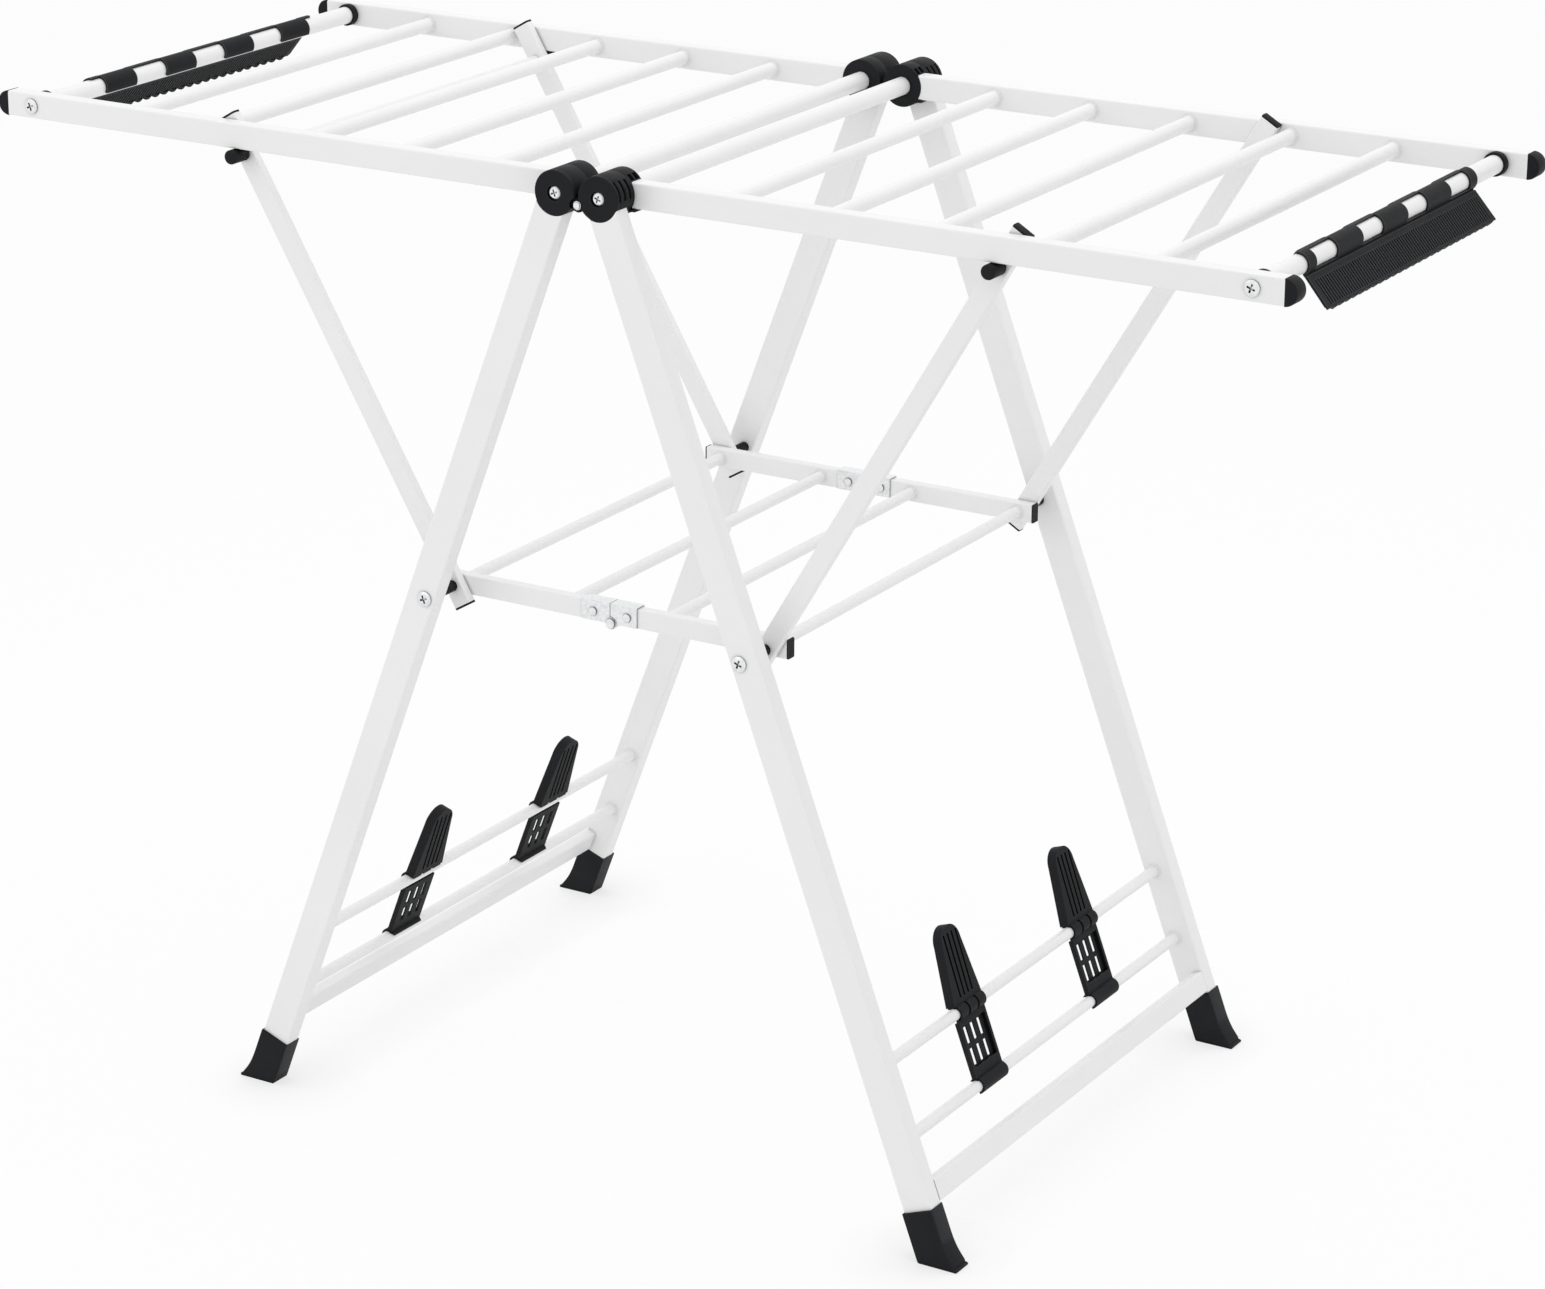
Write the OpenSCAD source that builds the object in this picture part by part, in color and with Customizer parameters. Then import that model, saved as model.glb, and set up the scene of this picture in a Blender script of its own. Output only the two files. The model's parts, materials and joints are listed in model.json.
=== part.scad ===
// Folding gull-wing clothes drying rack.
// Two leg frames joined at the top, two wings, four struts and a shelf that folds in the middle.
// Origin: on the floor, under the middle of the rack. +X along the wings, +Z up.
// Pieces are drawn for the right side and the far end, then mirrored.

/* [Hinges] */
// Height of the wing hinge axes above the floor
hinge_z = 1007; // [980:1:1040]
// Distance of each hinge axis from the middle
hinge_x = 24.4; // [24:0.1:27]
// Radius of the round hinge housings
hinge_r = 22.3; // [21.5:0.1:22.5]
// Drop of the leg pivot rivet below the hinge axes
rivet_drop = 9.5; // [8:0.5:11]
// Radius of the hinge screw shanks
screw_r = 3; // [2.5:0.1:3.5]
// Number of grip slots round each leg socket
grip_slots = 3; // [2:1:3]
// Radius of the screw recess in the hinge discs
recess_r = 7.5; // [7:0.1:9]

/* [Legs] */
// Lean of the legs away from upright, degrees
leg_angle = 20.7; // [18:0.1:23]
// Leg tube width, seen from the end of the rack
leg_w = 32; // [30:0.5:34]
// Leg tube thickness
leg_t = 20; // [18:0.5:21]
// Distance from the middle to the outer face of the legs
leg_face = 315; // [313:0.5:319]
// Wall of the leg tubes
leg_wall = 0.9; // [0.8:0.1:1.6]
// Diameter of the leg rungs
leg_rung_d = 12; // [11:0.5:13]
// Spacing of the two leg rungs
rung_gap = 76; // [74:1:80]
// Height of the flat crossbar
bar_h = 23; // [20:1:26]
// Thickness of the flat crossbar
bar_t = 12; // [10:0.5:14]
// Gap between the boots and the crossbar
bar_gap = 1.3; // [1:0.1:6]
// Distance from the crossbar up to the lower leg rung
rung_up = 41; // [36:1:46]

/* [Feet] */
// Length of boot that covers the leg
boot_l = 57.2; // [50:0.1:64]
// Boot wall beside the leg
boot_wall = 1.2; // [1:0.1:2]
// How far the toe reaches past the leg axis on the floor
toe = 25; // [23:0.5:30]
// How far the heel reaches behind the leg axis on the floor
heel = 14; // [11:0.5:17]

/* [Wings] */
// Length from the middle to the tip of a wing
wing_l = 726.5; // [716:0.5:746]
// Height of the wing rails
rail_h = 25.5; // [22:0.5:27]
// Thickness of the wing rails
rail_t = 17; // [15:0.5:17.5]
// Distance from the middle to the inner face of the wing rails
rail_in = 267.5; // [267.2:0.1:268]
// Wall of the wing rails
rail_wall = 0.9; // [0.8:0.1:1.6]
// Number of rungs in a wing
wing_rungs = 5; // [3:1:5]
// Distance from the middle to the first rung
rung_x = 132.8; // [125:0.1:140]
// Spacing of the wing rungs
rung_pitch = 110.5; // [100:0.1:112]
// Diameter of the wing rungs
rung_d = 15; // [12:0.5:16]
// Wall of the round tubes, struts and crossbars
tube_wall = 0.7; // [0.6:0.1:1.4]
// Diameter of the end bars and cross tubes
bar_d = 19; // [18:0.5:20]
// Distance from the wing tip back to the end bar
bar_back = 43.5; // [40:0.5:48]
// Diameter of the collars on the end bars
collar_d = 24; // [22.5:0.5:26]

/* [Comb clips] */
// Length of a comb clip
clip_l = 381; // [364:1:400]
// Wall of the clip round the bar
clip_wall = 2.3; // [2:0.1:3.2]
// Number of windows in a clip
windows = 4; // [2:1:5]
// Length of a clip window
window_l = 47; // [36:1:54]
// Distance from the clip end to the first window
window_end = 15.5; // [10:0.5:20]
// Width of the comb plate
comb_w = 38.5; // [32:0.5:42]
// Thickness of the comb plate
comb_t = 3; // [2.6:0.1:3.6]
// Angle of the comb plate below level, degrees
comb_angle = 49.5; // [45:0.5:58]
// Spacing of the ribs on the comb plate
rib_pitch = 4.92; // [4.6:0.01:5.2]

/* [Struts] */
// Distance from the middle to the pivot bolts
bolt_x = 182; // [178:0.5:186]
// Height of the pivot bolts
bolt_z = 575; // [565:1:585]
// Strut lean away from upright, degrees
strut_angle = 30.65; // [30.4:0.05:30.9]
// Strut tube width
strut_w = 20.5; // [17:0.5:21]
// Strut tube thickness
strut_t = 10; // [9:0.5:10]
// Gap between the rod caps and the open wings
rest_gap = 0.5; // [0.3:0.1:0.8]
// Diameter of the cross rods
rod_d = 8; // [7:0.5:9]
// Diameter of the caps under the wing rails
cap_d = 14.5; // [13:0.5:15]
// Distance from the cross rod to the upper strut end
strut_over = 42; // [34:0.2:43]
// Distance from the pivot bolt to the lower strut end
strut_under = 24.2; // [16:0.2:26]

/* [Shelf] */
// Height of the shelf rails
shelf_h = 20; // [18:0.5:22]
// Thickness of the shelf rails
shelf_t = 12; // [10:0.5:12.5]
// Distance from the middle to the inner shelf rung
shelf_rung_x = 55.5; // [50:0.5:70]
// Diameter of the shelf rungs
shelf_rung_d = 12; // [10:0.5:14]
// Distance from the middle to the end of a shelf rail
shelf_end = 201; // [194:0.5:204]
// Length of the middle brackets
bracket_l = 32; // [28:0.5:36]

/* [Shoe hooks] */
// Distance from the middle to the centre of a shoe hook
hook_y = 122; // [100:1:150]
// Width of a shoe hook
hook_w = 53.5; // [50:0.5:57]
// Length of the blade above the upper rung
blade_l = 76.5; // [70:0.5:90]
// Thickness of the blade
blade_t = 11; // [10:0.5:12]
// Number of lengthwise grooves in the blade
grooves = 4; // [3:1:5]
// Length of the slots in the hook plate
slot_l = 17.5; // [14:0.5:18]
// Width of the slots in the hook plate
slot_w = 6.5; // [5:0.5:7]

/* [Hidden] */
$fn = 48;
// Clearances
seat = 0.1;
run = 0.05;
gap = 0.3;
over = 1;
// Longer than any hinge piece, for the cuts
past = 60;
// Hinge stack, measured from the middle of the rack outwards
socket_in = rail_in - 0.5;
socket_out = rail_in + rail_t + 1.7;
leg_socket_in = socket_out + gap;
disc_t = 4;
disc_in = leg_face - disc_t;
ear_t = 3.4;
ear_r = 7;
outer_ear = disc_in - gap - ear_t;
inner_ear = outer_ear - gap - ear_t;
ears_end = outer_ear + ear_t;
rivet_z = hinge_z - rivet_drop;
rivet_r = 2.5;
rivet_head = 4.3;
neck_angle = atan2(rivet_drop, hinge_x);
neck_l = norm([hinge_x, rivet_drop]);
screw_head = 6.5;
plug_l = 30;
// Legs
leg_y = leg_face - leg_t / 2;
leg_in = leg_face - leg_t;
foot_x = hinge_x + hinge_z * tan(leg_angle);
rung_n = -4;
bar_n = leg_w / 2 - bar_t / 2;
leg_corner = 2;
bar_corner = 2;
boot_in = leg_in - boot_wall;
boot_out = leg_face + 2.5 * boot_wall;
welt = 0.7;
sole_t = 2.6;
floor_l = hinge_z / cos(leg_angle);
leg_l = floor_l - 16.5;
bar_top = floor_l - boot_l - bar_gap - bar_h;
rung_top = bar_top - rung_up - rung_gap;
// Wings
rail_y = rail_in + rail_t / 2;
rail_out = rail_in + rail_t;
cap_r = rail_h / 2;
rail_end = wing_l - cap_r;
rail_corner = 2;
bar_x = wing_l - bar_back;
collar_t = 8;
pan_r = 7.75;
pan_h = 3;
// Struts
strut_out = rail_in - 0.6;
strut_in = strut_out - strut_t;
strut_corner = 1.5;
rod_drop = rail_h / 2 + cap_d / 2 + rest_gap;
rod_reach = (hinge_z - rod_drop - bolt_z) / cos(strut_angle);
rod_end = leg_in - 6;
cap_out = rod_end + 2;
spacer_r = 5.75;
plug_t = 2.2;
// Shelf
shelf_out = strut_in - gap;
shelf_in = shelf_out - shelf_t;
shelf_y = shelf_out - shelf_t / 2;
shelf_wall = 0.9;
shelf_corner = 1.5;
pivot_z = bolt_z - 9;
pivot_gap = 14;
plate_t = 1.5;
lobe_r = 6.5;
seam = -0.4;
seam_gap = 0.7;
ear_end = pivot_gap - 1;
stud_end = shelf_in - 5;
// Shoe hooks
wrap_r = leg_rung_d / 2 + seat;
wrap_out = wrap_r + 2.5;
wrap_lip = 5.2;
plate_n = -1;
plate_th = 5.8;
panel_t = 2;

paint = "#ECECEA";
plastic = "#232427";
zinc = "#C4C7C9";

// ---- Placing -----------------------------------------------------------

module on_side(side) {
  if (side > 0)
    children();
  else
    mirror([1, 0, 0]) children();
}

module at_end(end) {
  if (end > 0)
    children();
  else
    mirror([0, 1, 0]) children();
}

module both_ends() {
  at_end(1) children();
  at_end(-1) children();
}

// Round piece along Y at x, z
module along_y(x, z, r, y0, y1)
  translate([x, y1, z])
    rotate([90, 0, 0])
      cylinder(r = r, h = y1 - y0);

// Tube along Y, the same length each way from the middle
module tube_y(x, z, r, wall, y)
  difference() {
    along_y(x, z, r, -y, y);
    along_y(x, z, r - wall, -y - over, y + over);
  }

// Leg frame: z runs up the leg, x points outwards, origin on the hinge axis
module in_leg()
  translate([hinge_x, 0, hinge_z])
    rotate([0, -leg_angle, 0])
      children();

// Strut frame: z runs up the strut, origin on the pivot bolt
module in_strut()
  translate([bolt_x, 0, bolt_z])
    rotate([0, strut_angle, 0])
      children();

module rounded(w, d, r) {
  square([w - 2 * r, d], center = true);
  square([w, d - 2 * r], center = true);
  for (i = [-1, 1], j = [-1, 1])
    translate([i * (w / 2 - r), j * (d / 2 - r)])
      circle(r);
}

module tube_section(w, d, r, wall)
  difference() {
    rounded(w, d, r);
    rounded(w - 2 * wall, d - 2 * wall, r - wall + 0.5);
  }

// What fills a tube of that section
module plug_section(w, d, r, wall)
  rounded(w - 2 * wall - 2 * seat, d - 2 * wall - 2 * seat, r - wall + 0.5);

// Rectangular piece along X from x0 to x1
module along_x(x0, x1, y, z)
  translate([x0, y, z])
    rotate([90, 0, 90])
      linear_extrude(x1 - x0)
        children();

module pan_head(x, z, r, y, h)
  difference() {
    union() {
      along_y(x, z, r, y, y + h * 0.5);
      translate([x, y + h * 0.5, z])
        rotate([-90, 0, 0])
          cylinder(r1 = r, r2 = r * 0.72, h = h * 0.5);
    }
    for (a = [0, 90])
      translate([x, y + h, z])
        rotate([0, a + 20, 0])
          cube([r * 1.1, h * 1.2, r * 0.25], center = true);
  }

// ---- Hinge -------------------------------------------------------------

module grip_slot(y)
  difference() {
    intersection() {
      along_y(hinge_x, hinge_z, hinge_r + over, y, y + 3.5);
      for (a = [-3, 12])
        translate([hinge_x, y, hinge_z])
          rotate([0, -a, 0])
            cube([past, 3.5, past]);
      translate([hinge_x, y, hinge_z])
        rotate([0, 40, 0])
          translate([0, 0, -1])
            cube([past, 3.5, past]);
    }
    along_y(hinge_x, hinge_z, hinge_r - 4, y - over, y + 4.5);
  }

// Ear that takes the leg pivot rivet; y0 is its inner face
module ear(y0) {
  along_y(0, rivet_z, ear_r, y0, y0 + ear_t);
  translate([0, y0, rivet_z])
    rotate([0, -neck_angle, 0])
      translate([0, 0, -5])
        cube([neck_l, ear_t, 10]);
}

// own, other: inner faces of this socket's ear and of the ear it meets
module leg_socket(own, other) {
  relief = inner_ear - 2.1;
  difference() {
    union() {
      difference() {
        along_y(hinge_x, hinge_z, hinge_r, leg_socket_in, disc_in);
        along_y(0, rivet_z, rivet_head + gap, relief, disc_in + over);
        along_y(0, rivet_z, ear_r + gap, other - gap, other + ear_t + gap);
      }
      ear(own);
      in_leg()
        translate([0, 0, -hinge_r - plug_l])
          intersection() {
            translate([0, leg_y, 0])
              linear_extrude(plug_l + 8)
                plug_section(leg_w, leg_t, leg_corner, leg_wall);
            translate([-leg_w, leg_in, -over])
              cube([2 * leg_w, disc_in - leg_in - seat, past]);
          }
    }
    along_y(hinge_x, hinge_z, screw_r + run, leg_socket_in - over, disc_in + over);
    along_y(0, rivet_z, rivet_r + run, relief, disc_in + over);
    for (i = [0 : grip_slots - 1])
      grip_slot(disc_in - 2.75 - i * 9);
  }
}

module leg_sockets(side)
  color(plastic)
    on_side(side)
      both_ends()
        if (side < 0)
          leg_socket(outer_ear, inner_ear);
        else
          leg_socket(inner_ear, outer_ear);

module hinge_disc()
  difference() {
    translate([hinge_x, disc_in, hinge_z])
      rotate([-90, 0, 0])
        rotate_extrude()
          polygon([
            [screw_r + run, 0],
            [hinge_r, 0],
            [hinge_r, disc_t - 1],
            [hinge_r - 1, disc_t],
            [recess_r, disc_t],
            [recess_r, 1.5],
            [screw_r + run, 1.5]
          ]);
    along_y(0, rivet_z, ear_r + gap, disc_in - over, leg_face + over);
  }

module hinge_discs(side)
  color(plastic)
    on_side(side)
      both_ends()
        hinge_disc();

module hinge_screws(side)
  color(zinc)
    on_side(side)
      both_ends() {
        pan_head(hinge_x, hinge_z, screw_head, disc_in + 1.5, 2.2);
        along_y(hinge_x, hinge_z, screw_r, socket_in + 4, disc_in + 1.6);
      }

module hinge_rivets()
  color(zinc)
    both_ends() {
      along_y(0, rivet_z, rivet_r, inner_ear - over, ears_end + over);
      along_y(0, rivet_z, rivet_head, ears_end, ears_end + 1.8);
      along_y(0, rivet_z, rivet_head - 1.2, ears_end + 1.7, ears_end + 2.6);
      along_y(0, rivet_z, rivet_head - 0.6, inner_ear - 1.8, inner_ear);
    }

module rail_socket() {
  lip_x = hinge_x + hinge_r + 0.3;
  difference() {
    union() {
      along_y(hinge_x, hinge_z, hinge_r, socket_in, socket_out);
      along_x(hinge_x + 8, hinge_x + hinge_r + plug_l, rail_y, hinge_z)
        plug_section(rail_t, rail_h, rail_corner, rail_wall);
      translate([hinge_x + 10, socket_in, hinge_z - rail_h / 2 - 3])
        cube([lip_x - hinge_x - 10, socket_out - socket_in - over, 3]);
      along_y(hinge_x, hinge_z, bar_d / 2 - tube_wall - seat, socket_in - 12, socket_in + over);
    }
    along_y(hinge_x, hinge_z, screw_r + run, socket_in + 3, socket_out + over);
    for (y = [1.8, 10])
      translate([hinge_x, socket_in + y, hinge_z])
        rotate([0, -38, 0])
          translate([hinge_r - 4, 0, 0])
            cube([8, 6, 7.5]);
  }
}

module rail_sockets(side)
  color(plastic)
    on_side(side)
      both_ends()
        rail_socket();

module cross_tube(side)
  color(paint)
    on_side(side)
      tube_y(hinge_x, hinge_z, bar_d / 2, tube_wall, socket_in);

// ---- Leg frames --------------------------------------------------------

module leg()
  difference() {
    in_leg()
      translate([0, leg_y, -leg_l])
        linear_extrude(leg_l)
          tube_section(leg_w, leg_t, leg_corner, leg_wall);
    along_y(hinge_x, hinge_z, hinge_r, leg_in - over, leg_face + over);
    along_y(bolt_x, bolt_z, screw_r + run, leg_in - over, leg_face + over);
  }

module legs(side)
  color(paint)
    on_side(side)
      both_ends()
        leg();

module leg_rungs(side)
  color(paint)
    on_side(side)
      in_leg()
        for (i = [0, 1])
          tube_y(rung_n, -rung_top - i * rung_gap, leg_rung_d / 2, tube_wall, leg_in);

module crossbar(side)
  color(paint)
    on_side(side)
      in_leg()
        translate([bar_n, leg_in, -bar_top - bar_h / 2])
          rotate([90, 0, 0])
            linear_extrude(2 * leg_in)
              tube_section(bar_t, bar_h, bar_corner, tube_wall);

// Boot with a rounded heel and a toe that flares outwards
module boot() {
  s = sin(leg_angle);
  c = cos(leg_angle);
  half = leg_w / 2 + boot_wall / 2;
  up = boot_l * c;
  mid = foot_x - boot_l * s;
  difference() {
    union() {
      translate([0, boot_out, 0])
        rotate([90, 0, 0])
          linear_extrude(boot_out - boot_in)
            polygon([
              [mid - half * c, up - half * s],
              [mid + half * c, up + half * s],
              [foot_x + half * c - 9, 30],
              [foot_x + half * c - 4.4, 20],
              [foot_x + half * c + 1.2, 12],
              [foot_x + toe, 1.2],
              [foot_x + toe - 0.8, 0],
              [foot_x - heel, 0],
              [foot_x - heel - 3, 1.6],
              [foot_x - heel - 4.5, 5]
            ]);
      translate([foot_x - heel - 1, boot_in - welt, 0])
        cube([heel + toe + 1 + welt, boot_out - boot_in + 2 * welt, sole_t]);
    }
    in_leg()
      translate([0, leg_y, -leg_l])
        linear_extrude(leg_l)
          square([leg_w, leg_t], center = true);
  }
}

module feet(side)
  color(plastic)
    on_side(side)
      both_ends()
        boot();

module spacers(side)
  color(plastic)
    on_side(side)
      both_ends()
        difference() {
          along_y(bolt_x, bolt_z, spacer_r, strut_out + gap, leg_in);
          along_y(bolt_x, bolt_z, screw_r + run, strut_out, leg_in + over);
        }

// tail: where the shank ends, measured from the middle
module pivot_bolts(side, tail)
  color(zinc)
    on_side(side)
      both_ends() {
        pan_head(bolt_x, bolt_z, pan_r, leg_face, pan_h);
        along_y(bolt_x, bolt_z, screw_r, tail, leg_face + 0.2);
      }

// ---- Shoe hooks --------------------------------------------------------

// Clip round a leg rung at distance s down the leg, open on the inner side
module wrap(s, w, r)
  translate([rung_n, w / 2, -s])
    rotate([90, 0, 0])
      linear_extrude(w)
        circle(r);

module blade() {
  base = rung_top - wrap_r - 1;
  tip = rung_top - 9 - blade_l + 17.5;
  translate([plate_n - blade_t + 1, 0, -base])
    rotate([0, 1.6, 0])
      difference() {
        rotate([90, 0, 90])
          linear_extrude(blade_t) {
            translate([0, base - tip])
              circle(17.5);
            polygon([
              [-hook_w / 2, 0],
              [hook_w / 2, 0],
              [17.5, base - tip],
              [-17.5, base - tip]
            ]);
          }
        for (i = [0 : grooves - 1], x = [-0.01, blade_t - 1.99])
          translate([x, (i - (grooves - 1) / 2) * 8 - 1.5, 6])
            cube([2, 3, base - tip + 4]);
      }
}

module shoe_hook() {
  low = rung_top + rung_gap;
  difference() {
    union() {
      blade();
      for (i = [-1, 0, 1])
        translate([0, i * 18, 0])
          wrap(rung_top, 14, wrap_out);
      wrap(rung_top, hook_w - 5, wrap_r + 1.2);
      wrap(low, hook_w - 4, wrap_out);
      translate([plate_n - plate_th, -hook_w / 2 + 0.5, -low + 4])
        cube([plate_th, hook_w - 1, rung_gap + 4]);
    }
    for (s = [rung_top, low]) {
      translate([rung_n, hook_w, -s])
        rotate([90, 0, 0])
          cylinder(r = wrap_r, h = 2 * hook_w);
      translate([rung_n - 30, -hook_w, -s - wrap_out - over])
        cube([30, 2 * hook_w, wrap_out + over + wrap_lip]);
    }
    for (i = [-1, 0, 1], s = [rung_top + 17, low - 19 - slot_l])
      translate([plate_n - 20, i * 13.7 - slot_w / 2, -s - slot_l])
        cube([40, slot_w, slot_l]);
    translate([plate_n - plate_th + panel_t, -hook_w / 2 + 4, -low + 18])
      cube([plate_th, hook_w - 8, 44]);
  }
}

module shoe_hooks(side)
  color(plastic)
    on_side(side)
      in_leg()
        for (i = [-1, 1])
          translate([0, i * hook_y, 0])
            shoe_hook();

// ---- Wings -------------------------------------------------------------

module wing_rail(side, end)
  color(paint)
    on_side(side)
      at_end(end)
        difference() {
          along_x(hinge_x + 8, rail_end, rail_y, hinge_z)
            tube_section(rail_t, rail_h, rail_corner, rail_wall);
          along_y(hinge_x, hinge_z, hinge_r, rail_in - over, rail_out + over);
          along_y(bar_x, hinge_z, screw_r + run, rail_in - over, rail_out + over);
        }

module wing_rungs(side)
  color(paint)
    on_side(side)
      for (i = [0 : wing_rungs - 1])
        tube_y(rung_x + i * rung_pitch, hinge_z, rung_d / 2, tube_wall, rail_in);

module end_bar(side)
  color(paint)
    on_side(side)
      tube_y(bar_x, hinge_z, bar_d / 2, tube_wall, rail_in - collar_t);

module collars(side)
  color(plastic)
    on_side(side)
      both_ends()
        difference() {
          union() {
            along_y(bar_x, hinge_z, collar_d / 2, rail_in - collar_t, rail_in);
            along_y(bar_x, hinge_z, bar_d / 2 - tube_wall - seat, rail_in - 21, rail_in);
          }
          along_y(bar_x, hinge_z, screw_r + run, rail_in - 22, rail_in + over);
        }

module end_caps(side)
  color(plastic)
    on_side(side)
      both_ends() {
        translate([rail_end, rail_out, hinge_z])
          rotate([90, 0, 0])
            linear_extrude(rail_t)
              intersection() {
                union() {
                  translate([wing_l - rail_end - cap_r, 0])
                    circle(cap_r);
                  translate([0, -cap_r])
                    square([wing_l - rail_end - cap_r, 2 * cap_r]);
                }
                translate([0, -cap_r])
                  square([2 * cap_r, 2 * cap_r]);
              }
        along_x(rail_end - 12, rail_end + over, rail_y, hinge_z)
          plug_section(rail_t, rail_h, rail_corner, rail_wall);
      }

module end_screws(side)
  color(zinc)
    on_side(side)
      both_ends() {
        pan_head(bar_x, hinge_z, pan_r, rail_out, pan_h);
        along_y(bar_x, hinge_z, screw_r, rail_in - 18, rail_out + 0.2);
      }

// Ring sector round the end bar, from angle a0 up to a1 (0 points outwards)
module sector(a0, a1, r) {
  steps = ceil((a1 - a0) / 60);
  d = (a1 - a0) / steps;
  polygon(concat([[0, 0]], [for (i = [0 : steps]) [r * cos(a0 + i * d), r * sin(a0 + i * d)]]));
}

module ring_sector(a0, a1, ri, ro)
  intersection() {
    difference() {
      circle(ro);
      circle(ri);
    }
    sector(a0, a1, ro * 2.2);
  }

// Sector piece along Y, centred at y
module ring_piece(a0, a1, y, l)
  translate([bar_x, y + l / 2, hinge_z])
    rotate([90, 0, 0])
      linear_extrude(l)
        ring_sector(a0, a1, clip_in, clip_out);

clip_in = bar_d / 2 + seat;
clip_out = clip_in + clip_wall;
window_pitch = (clip_l - 2 * window_end - window_l) / (windows - 1);
// Angles round the end bar: the ring, its windows and the fingers that close it
ring_from = -comb_angle - 9;
ring_to = 101;
window_from = -30;
window_to = 86;
finger_from = 99;
finger_to = 210;
// Comb plate, measured from the middle of the end bar
comb_r0 = clip_in + 1.2;
comb_r1 = comb_r0 + comb_w;
flare = 1.3;
crease_w = 1.6;
crease_deep = 1.2;
rib_n = floor((clip_l - 8) / rib_pitch);
rib_r0 = comb_r0 + 8.7;
rib_r1 = comb_r1 - 4;
rib_groove = rib_pitch * 0.55;
rib_deep = 0.9;
scallop = rib_pitch * 3;
scallop_n = floor(clip_l / scallop);
scallop_r = 21.6;
scallop_dip = 1.3;
lobe_r2 = 13;
lobe_up = 1.2;

// Outline across the plate, drawn from r0 to r1
module along_plate(r0, r1)
  translate([r0, 0, 0])
    rotate([90, 0, 90])
      linear_extrude(r1 - r0)
        children();

// Comb plate: flat band, ribbed band and a tip of rounded lobes
module comb_plate()
  translate([bar_x, 0, hinge_z])
    rotate([0, comb_angle, 0])
      translate([0, 0, -comb_t / 2])
        difference() {
          intersection() {
            union() {
              translate([comb_r0, -clip_l, 0])
                cube([rib_r0 - comb_r0, 2 * clip_l, comb_t]);
              along_plate(rib_r0, rib_r1)
                comb_profile();
              intersection() {
                along_plate(rib_r1, comb_r1)
                  lobe_profile();
                translate([0, 0, -lobe_up])
                  linear_extrude(comb_t + lobe_up)
                    tip_outline();
              }
            }
            translate([0, 0, -comb_t])
              linear_extrude(3 * comb_t)
                polygon([
                  [comb_r0, -clip_l / 2],
                  [comb_r1, -clip_l / 2 - flare],
                  [comb_r1, clip_l / 2 + flare],
                  [comb_r0, clip_l / 2]
                ]);
          }
          translate([clip_out - 0.2, -clip_l, comb_t - crease_deep])
            cube([crease_w, 2 * clip_l, comb_t]);
        }

// Ribs on both faces of the plate, as one outline across the ribs
module comb_profile() {
  y0 = -rib_n * rib_pitch / 2;
  top = [for (i = [0 : rib_n - 1], k = [0 : 3])
    [y0 + (i + 0.5) * rib_pitch + (k < 2 ? -rib_groove / 2 : rib_groove / 2),
     comb_t - (k == 1 || k == 2 ? rib_deep : 0)]];
  low = [for (i = [0 : len(top) - 1])
    [-top[i][0], comb_t - top[i][1]]];
  polygon(concat(
    [[-clip_l, comb_t]], top, [[clip_l, comb_t]],
    [[clip_l, 0]], low, [[-clip_l, 0]]
  ));
}

// Scalloped edge, seen square to the plate
module tip_outline() {
  translate([rib_r1, -clip_l])
    square([comb_r1 - scallop_dip - rib_r1, 2 * clip_l]);
  for (i = [0 : scallop_n - 1])
    translate([comb_r1 - scallop_r, (i - (scallop_n - 1) / 2) * scallop])
      circle(scallop_r, $fn = 96);
}

// Rounded lobes that stand out from the inner face along the tip
module lobe_profile() {
  translate([-clip_l, 0.6])
    square([2 * clip_l, comb_t - 0.6]);
  intersection() {
    for (i = [0 : scallop_n - 1])
      translate([(i - (scallop_n - 1) / 2) * scallop, lobe_r2 - lobe_up])
        circle(lobe_r2, $fn = 96);
    translate([-clip_l, -lobe_up])
      square([2 * clip_l, comb_t + lobe_up]);
  }
}

// Middle of window i along the clip
function window_y(i) = (i - (windows - 1) / 2) * window_pitch;

module comb_clip(side)
  color(plastic)
    on_side(side) {
      difference() {
        ring_piece(ring_from, ring_to, 0, clip_l);
        for (i = [0 : windows - 1])
          ring_window(window_y(i));
      }
      for (i = [0 : windows - 1])
        ring_piece(finger_from, finger_to, window_y(i), window_l + 3);
      comb_plate();
    }

module ring_window(y)
  translate([bar_x, y + window_l / 2, hinge_z])
    rotate([90, 0, 0])
      linear_extrude(window_l)
        sector(window_from, window_to, clip_out * 2.2);

// ---- Struts ------------------------------------------------------------

module strut()
  difference() {
    in_strut()
      translate([0, strut_in + strut_t / 2, -strut_under + plug_t])
        linear_extrude(strut_under + rod_reach + strut_over - 2 * plug_t)
          tube_section(strut_w, strut_t, strut_corner, tube_wall);
    along_y(bolt_x, bolt_z, screw_r + run, strut_in - over, strut_out + over);
    in_strut()
      along_y(0, rod_reach, rod_d / 2 + run, strut_in - over, strut_out + over);
  }

module struts(side)
  color(paint)
    on_side(side)
      both_ends()
        strut();

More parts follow.
